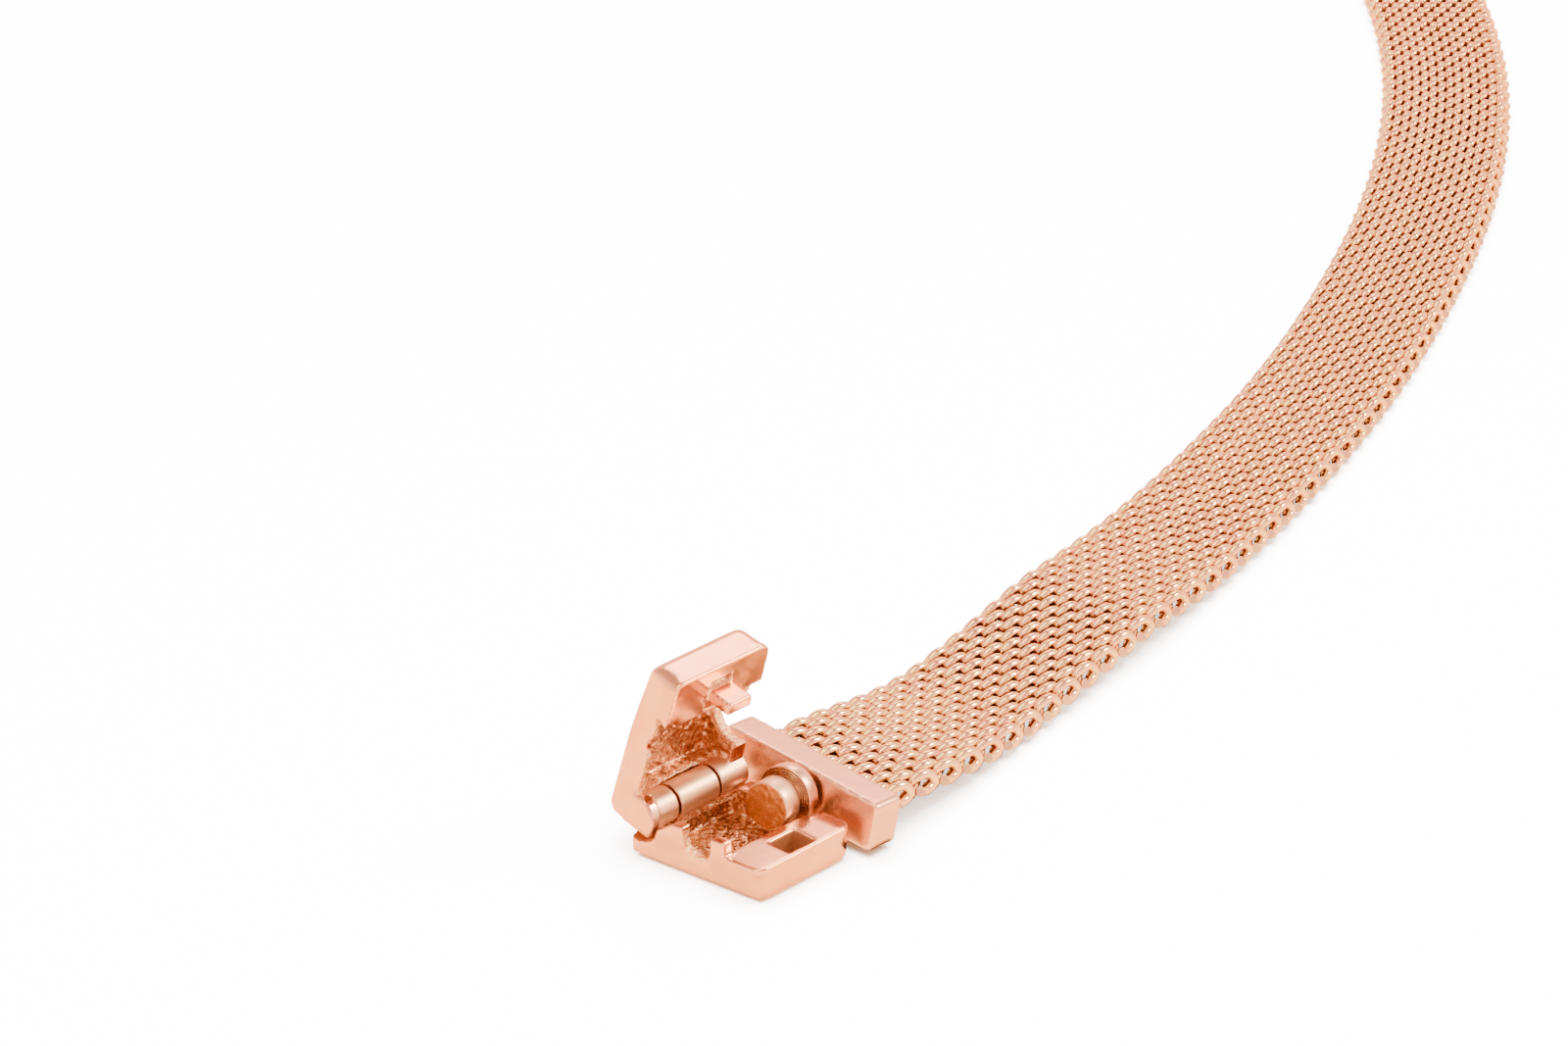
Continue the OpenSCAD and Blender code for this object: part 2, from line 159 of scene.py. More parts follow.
# the bars had only a short turn on the wheel, so they look more satin
barPlate = makePlate("rose_gold_bar", {"deep": "#D6AE95", "pale": "#DDB8A2", "toneSize": 4,
                                       "hazeSize": 0.9, "rough": (0.25, 0.32), "wave": 0.05,
                                       "waveDepth": 0.05})


# Turned brass with a thin pale plate: the lathe leaves fine rings that spread the highlight
def makeTurned(name, s):
    material, tree, place, shader = startMaterial(name)
    stretched = addNode(tree, "ShaderNodeMapping", {"Scale": s["stretch"]}, {"Vector": place})
    rings = addNode(tree, "ShaderNodeTexNoise", {"Scale": 1 / (s["ringSize"] * mm), "Detail": 3.0},
                    {"Vector": stretched.outputs["Vector"]}).outputs["Fac"]
    tone = addNode(tree, "ShaderNodeValToRGB", {"stops": [(0.25, linear(s["deep"])),
                                                          (0.75, linear(s["pale"]))]},
                   {"Fac": rings}).outputs["Color"]
    tree.links.new(tone, shader.inputs["Base Color"])
    rough = addNode(tree, "ShaderNodeValToRGB", {"stops": [(0.2, s["rough"][0]), (0.8, s["rough"][1])]},
                    {"Fac": rings}).outputs["Color"]
    tree.links.new(rough, shader.inputs["Roughness"])
    bump = addNode(tree, "ShaderNodeBump", {"Strength": s["groove"], "Distance": s["grooveDepth"] * mm},
                   {"Height": rings})
    tree.links.new(bump.outputs["Normal"], shader.inputs["Normal"])
    return material


turned = makeTurned("satin_turned", {"deep": "#DAB69C", "pale": "#E6CCB2", "stretch": (1, 0.08, 0.08),
                                     "ringSize": 0.12, "rough": (0.36, 0.44), "groove": 0.15,
                                     "grooveDepth": 0.01})


# Brass as it came from the mould, only flash plated: grainy, duller and browner in its hollows
def makeCast(name, s):
    material, tree, place, shader = startMaterial(name)
    grain = addNode(tree, "ShaderNodeTexNoise", {"Scale": 1 / (s["grainSize"] * mm), "Detail": 5.0,
                                                 "Roughness": 0.65}, {"Vector": place}).outputs["Fac"]
    tone = addNode(tree, "ShaderNodeValToRGB", {"stops": [(0.35, linear(s["deep"])), (0.55, linear(s["mid"])),
                                                          (0.72, linear(s["pale"]))]},
                   {"Fac": grain}).outputs["Color"]
    tree.links.new(tone, shader.inputs["Base Color"])
    # its high grains were rubbed brighter than its hollows
    rough = addNode(tree, "ShaderNodeValToRGB", {"stops": [(0.3, s["rough"][1]), (0.7, s["rough"][0])]},
                    {"Fac": grain}).outputs["Color"]
    tree.links.new(rough, shader.inputs["Roughness"])
    bump = addNode(tree, "ShaderNodeBump", {"Strength": s["relief"], "Distance": s["depth"] * mm},
                   {"Height": grain})
    tree.links.new(bump.outputs["Normal"], shader.inputs["Normal"])
    return material


cast = makeCast("rough_cast", {"deep": "#AE886C", "mid": "#C49E7E", "pale": "#E0BE9A", "grainSize": 0.6,
                               "rough": (0.14, 0.34), "relief": 0.3, "depth": 0.1})
# crumbs of metal that stand up along its edges catch the plate, and their pale cream colour is a painted
# highlight for the light they catch
glintCrumbs = makeCast("cast_crumbs_painted_glint", {"deep": "#C89468", "mid": "#F4D4AA", "pale": "#FFF4E0", "grainSize": 0.26,
                                  "rough": (0.06, 0.24), "relief": 0.9, "depth": 0.16})
# the stud's head where it was sawn from the rod: bare brass, a deeper orange
sawn = makeCast("sawn_face", {"deep": "#AE6E30", "mid": "#BC7C40", "pale": "#DCA864", "grainSize": 0.5,
                              "rough": (0.3, 0.5), "relief": 0.25, "depth": 0.05})


# Drawn brass wire with the same rose plate, bright from the die. The plate is thinner in patches, where the
# yellow of the brass comes through
def makeWire(name, s):
    material, tree, place, shader = startMaterial(name)
    patches = addNode(tree, "ShaderNodeTexNoise", {"Scale": 1 / (s["patch"] * mm), "Detail": 2.0},
                      {"Vector": place}).outputs["Fac"]
    tone = addNode(tree, "ShaderNodeValToRGB", {"stops": [(0.35, linear(s["pink"])),
                                                          (0.65, linear(s["yellow"]))]},
                   {"Fac": patches}).outputs["Color"]
    tree.links.new(tone, shader.inputs["Base Color"])
    rough = addNode(tree, "ShaderNodeValToRGB", {"stops": [(0.3, s["rough"][0]), (0.7, s["rough"][1])]},
                    {"Fac": patches}).outputs["Color"]
    tree.links.new(rough, shader.inputs["Roughness"])
    return material


wireMetal = makeWire("woven_wire", {"pink": "#DEB698", "yellow": "#E8D29A", "patch": 0.8,
                                    "rough": (0.1, 0.18)})
# Painted shade: the same brass coloured dark brown where the next coil or knuckle covers it and shade falls
paintedShade = makeWire("painted_shade_brass", {"pink": "#7C4830", "yellow": "#8A5C34", "patch": 0.8,
                                     "rough": (0.3, 0.45)})
# Painted shade: brass coloured dull brown in the catch slot and on the pit's sides, recesses where shade
# falls
recessShade = makeCast("painted_shade_recess", {"deep": "#B07C54", "mid": "#B8865E", "pale": "#C4946C", "grainSize": 0.3,
                                  "rough": (0.5, 0.7), "relief": 0.15, "depth": 0.03})
recessShade.node_tree.nodes["Principled BSDF"].inputs["Metallic"].default_value = 0.93
print("materials made")

# Finishes, by their place in a piece's list of materials. Flat crumbs are too flat to stand out
# Painted shade is the fifth and the last finish, and both crumb finishes carry a painted highlight
plated, lathed, roughCast, sawCut, recessShadeFinish, crumbled, flatCrumbs, paintedShadeFinish = range(8)


# Points are in millimetres, and kinds are the finishes of the faces
def meshFromArrays(name, points, quads, materials, kinds=None):
    data = bpy.data.meshes.new(name)
    data.vertices.add(len(points))
    data.vertices.foreach_set("co", (np.asarray(points) * mm).ravel())
    data.loops.add(len(quads) * 4)
    data.loops.foreach_set("vertex_index", np.asarray(quads, dtype=np.int32).ravel())
    data.polygons.add(len(quads))
    data.polygons.foreach_set("loop_start", np.arange(0, len(quads) * 4, 4, dtype=np.int32))
    data.polygons.foreach_set("use_smooth", np.ones(len(quads), dtype=bool))
    for material in materials:
        data.materials.append(material)
    if kinds is not None:
        data.polygons.foreach_set("material_index", np.asarray(kinds, dtype=np.int32))
    data.update(calc_edges=True)
    data.validate()
    thing = bpy.data.objects.new(name, data)
    bpy.context.scene.collection.objects.link(thing)
    return thing


# Faces of a tube made of rings, with the first point numbered start
def tubeQuads(rings, sides, start):
    i = np.arange(rings - 1)[:, None] * sides
    k = np.arange(sides)[None]
    n = (k + 1) % sides
    return (np.stack([i + k, i + n, i + n + sides, i + k + sides], axis=-1) + start).reshape(-1, 4)


# Wear of the outer edges: each weighted point moves halfway to the middle of its neighbours, many times
def soften(points, data, weight, rounds):
    pairs = np.empty(len(data.edges) * 2, dtype=np.int32)
    data.edges.foreach_get("vertices", pairs)
    a, b = pairs.reshape(-1, 2).T
    count = np.bincount(pairs, minlength=len(points))
    for _ in range(rounds):
        sums = [np.bincount(a, points[b, j], len(points)) + np.bincount(b, points[a, j], len(points))
                for j in range(3)]
        middles = np.stack(sums, axis=1) / count[:, None]
        points = points + (middles - points) * 0.5 * weight[:, None]
    return points


# How a solid is taken over, in millimetres: the grid it is drawn on and the gap that is welded shut
castWork = {"voxel": 0.08, "weld": 0.0005}


# A cast piece: the solid's own shape with its edges worn soft by tumbling, then finished by area
def castPiece(name, nodeName, s, paint):
    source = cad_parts[nodeName].data.copy()
    source.transform(Matrix.Scale(1 / mm, 4))
    temp = bpy.data.objects.new("temp", source)
    bpy.context.scene.collection.objects.link(temp)
    weld = temp.modifiers.new("weld", "WELD")
    weld.merge_threshold = castWork["weld"]
    remesh = temp.modifiers.new("remesh", "REMESH")
    remesh.mode = "VOXEL"
    remesh.voxel_size = castWork["voxel"]
    smooth = temp.modifiers.new("smooth", "SMOOTH")
    smooth.factor = 0.5
    smooth.iterations = s["smooth"]
    shaped = bpy.data.meshes.new_from_object(temp.evaluated_get(bpy.context.evaluated_depsgraph_get()))
    bpy.data.objects.remove(temp)
    count = len(shaped.vertices)
    points = np.empty(count * 3)
    shaped.vertices.foreach_get("co", points)
    points = points.reshape(-1, 3)
    normals = np.empty(count * 3)
    shaped.vertex_normals.foreach_get("vector", normals)
    normals = normals.reshape(-1, 3)
    if "outer" in s:
        points = soften(points, shaped, s["outer"](points), s["rounds"])
    if "tuck" in s:
        points = s["tuck"](points)
    kinds = paint(points)
    if "sink" in s:
        points = s["sink"](points)
    # lumps where the casting was never dressed
    for i in np.nonzero((kinds == roughCast) | (kinds == crumbled))[0]:
        lump = noise.fractal(Vector(points[i] / s["lump"]), 1.0, 2.0, 2)
        points[i] += normals[i] * lump * s["lumpHeight"]
    shaped.vertices.foreach_set("co", (points * mm).ravel())
    shaped.materials.clear()
    for material in s["materials"]:
        shaped.materials.append(material)
    corners = np.empty(len(shaped.loops), dtype=np.int32)
    shaped.loops.foreach_get("vertex_index", corners)
    starts = np.empty(len(shaped.polygons), dtype=np.int32)
    shaped.polygons.foreach_get("loop_start", starts)
    shaped.polygons.foreach_set("material_index", kinds[corners[starts]].astype(np.int32))
    shaped.polygons.foreach_set("use_smooth", np.ones(len(shaped.polygons), dtype=bool))
    shaped.update()
    thing = bpy.data.objects.new(name, shaped)
    bpy.context.scene.collection.objects.link(thing)
    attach(thing, s["body"])
    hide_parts(nodeName)
    print(name, len(shaped.polygons), "faces")


# How far each finish reaches over or stops short of the solid's own edges, in millimetres. Skin is what
# still counts as a knuckle's surface, bead is a patch's size, and beads is their share of the surface
reach = {
    "skin": 0.06, "joint": 0.11, "wall": 0.1, "rim": 0.06, "bead": 0.45,
    "base": {"back": 0.3, "end": 0.35, "top": 0.12, "notchRim": 0.12, "notchIn": 0.12, "foot": 0.5,
             "beads": 0.6, "hinge": 0.4, "slot": 0.05, "slotTop": 0.08, "slotFloor": 0.2,
             "barrelX": (-2.7, 0.75), "barrelZ": 1.9, "saddle": 0.1, "saddleHalf": 0.13},
    "lid": {"back": 0.5, "end": 0.3, "rim": 0.25, "top": 0.35, "foot": 0.7, "beads": 0.7, "hinge": 0.45,
            "stepLow": 0.12, "stepHigh": 0.2, "stepIn": 0.3, "stepY": -2.3, "stepWall": 0.2,
            "roomZ": 2.8, "roomIn": 0.3, "roomOut": 0.15,
            "reliefY": (-2.99, -2.3), "reliefZ": (2.6, 3.4), "pit": (0.1, 0.9), "pitHalf": 0.2,
            "lathedIn": 0.04, "bossIn": 0.2, "bossZ": 1, "bossY": 0.2},
}
# where wear starts and how softly it fades, in millimetres
wear = {"depth": 0.3, "depthFade": 0.15, "rim": 0.35, "rimFade": 0.3, "knuckle": 0.15}


def between(v, low, high):
    return (v > low) & (v < high)


def hingeDistance(p):
    return np.hypot(p[:, 1] - clasp["hingeY"], p[:, 2] - clasp["hingeZ"])


# Patches, in about the given share of the surface
def beads(p, share):
    return np.array([noise.noise(Vector(v) / reach["bead"]) for v in p]) > 0.25 - share * 0.5


# Painted shade: a dark line where one knuckle meets the next
def byJoint(p):
    off = np.min([np.abs(p[:, 0] - joint) for joint in clasp["joints"]], axis=0)
    return (off < reach["joint"]) & (hingeDistance(p) < clasp["knuckle"] + reach["skin"])


def paintBase(p):
    x, y, z = p.T
    s = reach["base"]
    front, back = frontAt(y), backAt(y)
    wall = front + clasp["frontWall"]
    hinge = hingeDistance(p)
    kinds = np.zeros(len(p), dtype=int)
    inside = (between(x, wall - reach["wall"], back - s["back"])
              & between(y, openY + clasp["rim"] - reach["rim"], -openY - s["end"])
              & (z < clasp["baseHeight"] - s["top"]))
    notch = ((np.hypot(y - clasp["notchY"], z - clasp["notchZ"]) < clasp["notch"] + s["notchRim"])
             & between(x, front + s["notchIn"], wall + reach["wall"]))
    kinds[inside] = roughCast
    # beads of metal that the mould left along the wall's foot, and on the notch where it was filed
    edge = inside & (((x < wall + s["foot"]) & beads(p, s["beads"]))
                     | (hinge < clasp["knuckle"] + s["hinge"]))
    kinds[notch] = flatCrumbs
    kinds[edge] = crumbled
    # painted shade in the catch slot
    slot = (between(x, clasp["slotX"][0] - s["slot"], clasp["slotX"][1] + s["slot"])
            & between(y, clasp["slotY"][0] - s["slot"], clasp["slotY"][1] + s["slot"])
            & between(z, s["slotFloor"], clasp["baseHeight"] - s["slotTop"]))
    kinds[slot] = recessShadeFinish
    knuckle = (hinge < clasp["knuckle"] + reach["skin"]) & between(x, *s["barrelX"]) & (z > s["barrelZ"])
    kinds[knuckle] = lathed
    # and painted shade on the saddle that the lid's round front wall turns in
    saddle = (np.abs(hinge - clasp["boss"] - s["saddle"]) < s["saddleHalf"]) & (x < wall + reach["wall"])
    kinds[byJoint(p) | saddle] = paintedShadeFinish
    return kinds


# The lid's points as they are when it is closed, where its shape is the plainest to describe
def closed(p):
    turn = math.radians(clasp["open"])
    y, z = p[:, 1] - clasp["hingeY"], p[:, 2] - clasp["hingeZ"]
    return np.stack([p[:, 0], y * math.cos(turn) - z * math.sin(turn) + clasp["hingeY"],
                     y * math.sin(turn) + z * math.cos(turn) + clasp["hingeZ"]], axis=1)


# Nearness to the pit that was milled beside the tongue: 1 on its floor, 0 past its edge
def pitShare(q):
    x, y, z = q.T
    pit = clasp["pit"]
    off = np.maximum(np.abs(x - pit["x"]) - pit["halfLong"], np.abs(y - pit["y"]) - pit["halfWide"])
    return (np.clip((pit["edge"] - off) / pit["edge"], 0, 1)
            * (np.abs(z - clasp["baseHeight"]) < reach["lid"]["pitHalf"]))


def sinkPit(p):
    turn = math.radians(clasp["open"])
    up = np.array([0, math.sin(turn), math.cos(turn)])
    return p + clasp["pit"]["deep"] * pitShare(closed(p))[:, None] * up


def paintLid(p):
    q = closed(p)
    x, y, z = q.T
    s = reach["lid"]
    front, back = frontAt(y), backAt(y)
    wall = front + clasp["frontWall"]
    hinge = hingeDistance(p)
    kinds = np.zeros(len(p), dtype=int)
    inside = (between(x, wall - reach["wall"], back - s["back"])
              & between(y, openY + clasp["rim"] - reach["rim"], -openY - s["end"])
              & between(z, clasp["baseHeight"] + s["rim"], clasp["lidTop"] - s["top"]))
    step = (between(z, clasp["wallTop"] - s["stepLow"], clasp["wallTop"] + s["stepHigh"])
            & (x > front + s["stepIn"]) & (y > s["stepY"]))
    kinds[inside] = roughCast
    edge = inside & (((x < wall + s["foot"]) & beads(p, s["beads"]))
                     | (hinge < clasp["knuckle"] + s["hinge"]))
    room = ((np.hypot(y - clasp["notchY"], z - s["roomZ"]) < clasp["room"])
            & between(x, back - clasp["backWall"] - s["roomIn"], back - s["roomOut"]))
    relief = between(x, *clasp["slotX"]) & between(y, *s["reliefY"]) & between(z, *s["reliefZ"])
    kinds[room | relief | (step & (x < wall + s["stepWall"]))] = flatCrumbs
    kinds[edge] = crumbled
    pit = pitShare(q)
    # painted shade on the pit's sloping sides
    kinds[between(pit, *s["pit"])] = recessShadeFinish
    kinds[pit >= s["pit"][1]] = flatCrumbs
    # the knuckles, and the rim of the front wall that is turned down with them
    kinds[(hinge < clasp["knuckle"] + reach["skin"]) & (x > wall - s["lathedIn"])] = lathed
    # painted shade on the lines where the knuckles meet
    kinds[byJoint(p)] = paintedShadeFinish
    kinds[(hinge < clasp["boss"] + reach["skin"]) & between(x, front + s["bossIn"], wall + s["lathedIn"])
          & (p[:, 2] < clasp["hingeZ"] + s["bossZ"]) & (p[:, 1] < clasp["hingeY"] + s["bossY"])] = lathed
    return kinds


# Share of wear: full on the clasp's outer faces, none inside or near the plane where its halves meet
def wornShare(p, depth, fromRim):
    knuckles = hingeDistance(p) < clasp["knuckle"] + wear["knuckle"]
    return (np.clip((wear["depth"] - depth) / wear["depthFade"], 0, 1)
            * np.clip((fromRim - wear["rim"]) / wear["rimFade"], 0, 1) * ~knuckles)


def outerBase(p):
    x, y, z = p.T
    depth = np.minimum.reduce([x - frontAt(y), backAt(y) - x, y - openY, -openY - y, z])
    return wornShare(p, depth, clasp["baseHeight"] - z)


def outerLid(p):
    x, y, z = closed(p).T
    end = openY - clasp["lidLip"]
    top = clasp["lidTop"] - clasp["lidDrop"] * np.clip((clasp["notchY"] - y) / (clasp["notchY"] - end), 0, 1)
    depth = np.minimum.reduce([x - frontAt(y), backAt(y) - x, y - end, clasp["lidOver"] - openY - y, top - z])
    return wornShare(p, depth, z - clasp["baseHeight"])


claspLooks = {"rounds": 90, "smooth": 9, "lump": 0.35, "lumpHeight": 0.11, "slot": "plated_clasp",
              "materials": [plate, turned, cast, sawn, recessShade, glintCrumbs, glintCrumbs, paintedShade]}
castPiece("base_casting", "clasp_base", {**claspLooks, "body": "base", "outer": outerBase}, paintBase)
castPiece("lid_casting", "clasp_lid", {**claspLooks, "body": "lid", "outer": outerLid, "sink": sinkPit},
          paintLid)

# End bars: the same plate, with a lathe-turned stud soldered on a little askew. The bar's x is the clasp's
# end at the notch, then a gap, then half its own depth
bar = {"x": 3.4975 + 0.75 + 1.15, "y": -0.175, "z": 2.5, "yaw": 4, "pitch": 6.5, "roll": 4.5, "depth": 2.3,
       "long": 12.5}
stud = {"turn": 6.5, "collarOff": 0.4, "collarThick": 1.0, "neckLong": 0.5, "headThick": 1.4, "neck": 0.95,
        "collar": 1.9, "head": 1.525, "bevel": 0.07, "ribs": 5, "ribPitch": 0.17, "ribDepth": 0.07,
        "ribPoints": 8, "saws": 12, "sawDepth": 0.03, "sawFine": 2.2, "sides": 128, "inBar": 0.3,
        "centre": 0.02, "fillet": (0.02, 0.05), "coreFrom": 0.06, "coreShare": 0.4, "coreEnd": 0.3}
stud["long"] = (bar["depth"] / 2 + stud["collarOff"] + stud["collarThick"] + stud["neckLong"]
                + stud["headThick"])


def barFrame(x, y, z, yaw, pitch, roll):
    return (Matrix.Translation((x, y, z)) @ Matrix.Rotation(math.radians(yaw), 4, "Z")
            @ Matrix.Rotation(math.radians(pitch), 4, "Y") @ Matrix.Rotation(math.radians(roll), 4, "X"))


def studFrame(barPlace):
    return (barPlace @ Matrix.Translation((-stud["long"], 0, 0))
            @ Matrix.Rotation(math.radians(stud["turn"]), 4, "Z") @ Matrix.Translation((stud["long"], 0, 0)))


def moved(points, place):
    m = np.array(place)
    return points @ m[:3, :3].T + m[:3, 3]


# The cast core of the stud is drawn in, so that only the turned skin shows
def tuckStud(barPlace):
    def tuck(p):
        inBar = moved(p, barPlace.inverted())
        q = moved(p, studFrame(barPlace).inverted())
        gone = inBar[:, 0] < -bar["depth"] / 2 - stud["coreFrom"]
        q[gone, 1:] *= stud["coreShare"]
        q[gone, 0] = np.maximum(q[gone, 0], -stud["long"] + stud["coreEnd"])
        out = p.copy()
        out[gone] = moved(q[gone], studFrame(barPlace))
        return out
    return tuck


# Profile of the turned skin from inside the bar to the middle of the head: distance, radius, finish
def studProfile():
    back = bar["depth"] / 2
    c0 = back + stud["collarOff"]
    c1 = c0 + stud["collarThick"]
    h0 = c1 + stud["neckLong"]
    h1 = h0 + stud["headThick"]
    b, neck, collar, head, centre = (stud[k] for k in ("bevel", "neck", "collar", "head", "centre"))
    fillet = stud["fillet"]
    rows = [(back - stud["inBar"], centre, lathed), (back - stud["inBar"], neck, lathed),
            (c0 - fillet[0], neck, lathed), (c0, neck + fillet[1], plated), (c0, collar - 2 * b, plated),
            (c0 + b / 2, collar - b / 2, plated), (c0 + 2 * b, collar, plated), (c1 - b, collar, plated),
            (c1, collar - b / 2, plated)]
    # the collar's front face, ribbed by a coarse cut of the lathe
    per = stud["ribPoints"]
    for k in range(stud["ribs"] * per + 1):
        r = collar - b - k / per * stud["ribPitch"]
        rows.append((c1 - stud["ribDepth"] * (1 - math.cos(2 * math.pi * k / per)), r, roughCast))
    rows += [(c1, neck, roughCast), (h0, neck, lathed), (h0, head - b, lathed),
             (h0 + b / 3, head - b / 3, lathed), (h0 + b, head, lathed), (h1 - b, head, lathed),
             (h1 - b / 3, head - b / 3, lathed), (h1, head - b, lathed)]
    for k in range(1, stud["saws"] + 1):
        r = (head - b) * (1 - k / stud["saws"])
        rows.append((h1, max(r, centre), sawCut))
    return rows


def makeStud(name, nodeName, barPlace):
    rows = studProfile()
    angle = 2 * np.pi * np.arange(stud["sides"]) / stud["sides"]
    points = []
    for a, r, kind in rows:
        x = np.full(len(angle), -a)
        y, z = r * np.cos(angle), r * np.sin(angle)
        if kind == sawCut:
            # the saw left the head's face uneven
            fine = stud["sawFine"]
            x = x + [stud["sawDepth"] * noise.fractal(Vector((v * fine, w * fine, 7)), 1.0, 2.0, 3)
                     for v, w in zip(y, z)]
        points.append(np.stack([x, y, z], axis=1))
    quads = tubeQuads(len(rows), stud["sides"], 0)
    kinds = np.repeat([row[2] for row in rows[1:]], stud["sides"])
    piece = meshFromArrays(name, moved(np.concatenate(points), studFrame(barPlace)), quads,
                           [barPlate, turned, cast, sawn], kinds)
    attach(piece, "base")
    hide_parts(nodeName)
    print(name, len(piece.data.polygons), "faces")


def allPlated(p):
    return np.zeros(len(p), dtype=int)


nearBar = barFrame(bar["x"], bar["y"], bar["z"], bar["yaw"], bar["pitch"], bar["roll"])
barLooks = {"smooth": 26, "slot": "plated_bar", "body": "base", "materials": [barPlate, turned, cast, sawn]}
castPiece("bar_casting", "end_bar", {**barLooks, "tuck": tuckStud(nearBar)}, allPlated)
makeStud("stud_turning", "end_bar", nearBar)
# the pin keeps the solid's own shape and is turned as the knuckles are
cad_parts["hinge_pin"].data.materials.clear()
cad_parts["hinge_pin"].data.materials.append(turned)
print("castings made")

# The band's line on the table, the same as the solid's. It is worked out a little over both ends. Gap is
# between the bar's face and the line's start, and skew is how far off square the line leaves it
band = {"length": 176, "width": 10.2, "thick": 1.8, "wave": 0.95, "rest": 0.92, "free": 1.67, "lift": 0.5,
        "ease": 1.6, "gap": 0.06, "skew": 1, "over": 4, "step": 0.2}
band["first"] = bar["z"] - bar["depth"] / 2 * math.sin(math.radians(bar["pitch"])) + band["lift"]
# Columns: share of the length, heading, share of the first height, share of the wave, share of the free
# end's height, share of the roll
route = np.array([
    (0, 4, 1, 0, 0, 1), (0.014, 4.5, 0.93, 0, 0, 1), (0.037, 8.5, 0.6, 0, 0, 0.8),
    (0.06, 10.2, 0.23, 0, 0, 0.35), (0.082, 10, 0, 0.1, 0, 0), (0.116, 10, 0, 0.42, 0, -0.2),
    (0.162, 10.6, 0, 1, 0, 0.2), (0.219, 13.3, 0, 0.4, 0, 0.35), (0.287, 17.4, 0, 0.2, 0, 0.25),
    (0.355, 19.8, 0, 0, 0, 0), (0.44, 24.3, 0, 0, 0, 0), (0.526, 27.4, 0, 0, 0, 0),
    (0.611, 32, 0, 0, 0, 0), (0.696, 36.9, 0, 0, 0, 0), (0.798, 44.4, 0, 0, 0, 0),
    (0.866, 49, 0, 0, 0, 0), (0.94, 55, 0, 0, 0.3, 0), (1, 60, 0, 0, 1, 0)])


# A column of the route at given lengths, its corners eased out
def eased(column, at):
    stations = route[:, 0] * band["length"]
    return sum(np.interp(at + k * band["ease"] / 2, stations, column) for k in (-2, -1, 0, 1, 2)) / 5


def bandLine():
    step = band["step"]
    s = np.arange(-band["over"], band["length"] + band["over"] + step, step)
    heightAt = (band["rest"] + route[:, 2] * (band["first"] - band["rest"]) + route[:, 3] * band["wave"]
                + route[:, 4] * (band["free"] - band["rest"]))
    heading = np.radians(eased(route[:, 1], s))
    height = eased(heightAt, s)
    # rise over one millimetre
    climb = np.arcsin(eased(heightAt, s + 0.5) - eased(heightAt, s - 0.5))
    roll = np.radians(eased(route[:, 5] * bar["roll"], s))
    along = np.stack([np.cos(heading) * np.cos(climb), np.sin(heading) * np.cos(climb), np.sin(climb)],
                     axis=1)
    level = np.stack([-np.sin(heading), np.cos(heading), 0 * s], axis=1)
    up = np.cross(along, level)
    across = level * np.cos(roll)[:, None] + up * np.sin(roll)[:, None]
    out = np.cross(along, across)
    middle = np.zeros((len(s), 3))
    middle[1:, :2] = np.cumsum((along[1:, :2] + along[:-1, :2]) / 2 * step, axis=0)
    fromBar = (bar["depth"] / 2 + band["gap"]
               + (band["lift"] + band["thick"] / 2) * math.sin(math.radians(bar["pitch"]))
               + band["width"] / 2 * math.sin(math.radians(band["skew"])))
    yaw = math.radians(bar["yaw"])
    start = np.array([bar["x"] + fromBar * math.cos(yaw), bar["y"] + fromBar * math.sin(yaw)])
    zero = np.array([np.interp(0, s, middle[:, k]) for k in (0, 1)])
    middle[:, :2] += start - zero
    middle[:, 2] = height
    return s, middle, along, across, out


lineS, middle, along, across, out = bandLine()


# Places or directions at given lengths along the band's line
def onLine(values, s):
    return np.stack([np.interp(s, lineS, values[:, k]) for k in range(3)], axis=-1)


# Free end bar: the same bar and stud, level and straight, at the far end
farPoint = onLine(middle, np.array([band["length"]]))[0]
farTurn = np.radians(eased(route[:, 1], band["length"]))
toBar = bar["depth"] / 2 + band["gap"]
farBar = barFrame(farPoint[0] + toBar * math.cos(farTurn), farPoint[1] + toBar * math.sin(farTurn),
                  band["free"], math.degrees(farTurn) + 180, 0, 0)
castPiece("free_bar_casting", "free_end_bar", {**barLooks, "tuck": tuckStud(farBar)}, allPlated)
makeStud("free_stud_turning", "free_end_bar", farBar)

# Woven band: flat coils of drawn wire, each wound into the last and half a turn to the side of it. Wire is
# its radius, and the painted shade height is how far above the band's middle the wire stays dark brown, as
# painted shade where the coils cover each other
weave = {"columns": 14, "turnPitch": 1.37, "coilStep": 1.125, "wire": 0.34, "halfLong": 0.76,
         "halfHigh": 0.56, "squareLong": 0.95, "squareHigh": 0.85, "sway": 0.3, "sides": 8, "segments": 24,
         "curl": 0.86, "short": 0.12, "turnOut": 0.2, "turnOutPower": 4, "endHigh": 0.65, "paintedShade": 0.42,
         "open": 0.9, "first": 0.015, "capOut": 0.12, "capRings": (0.86, 0.8, 0.02), "pieces": 4}


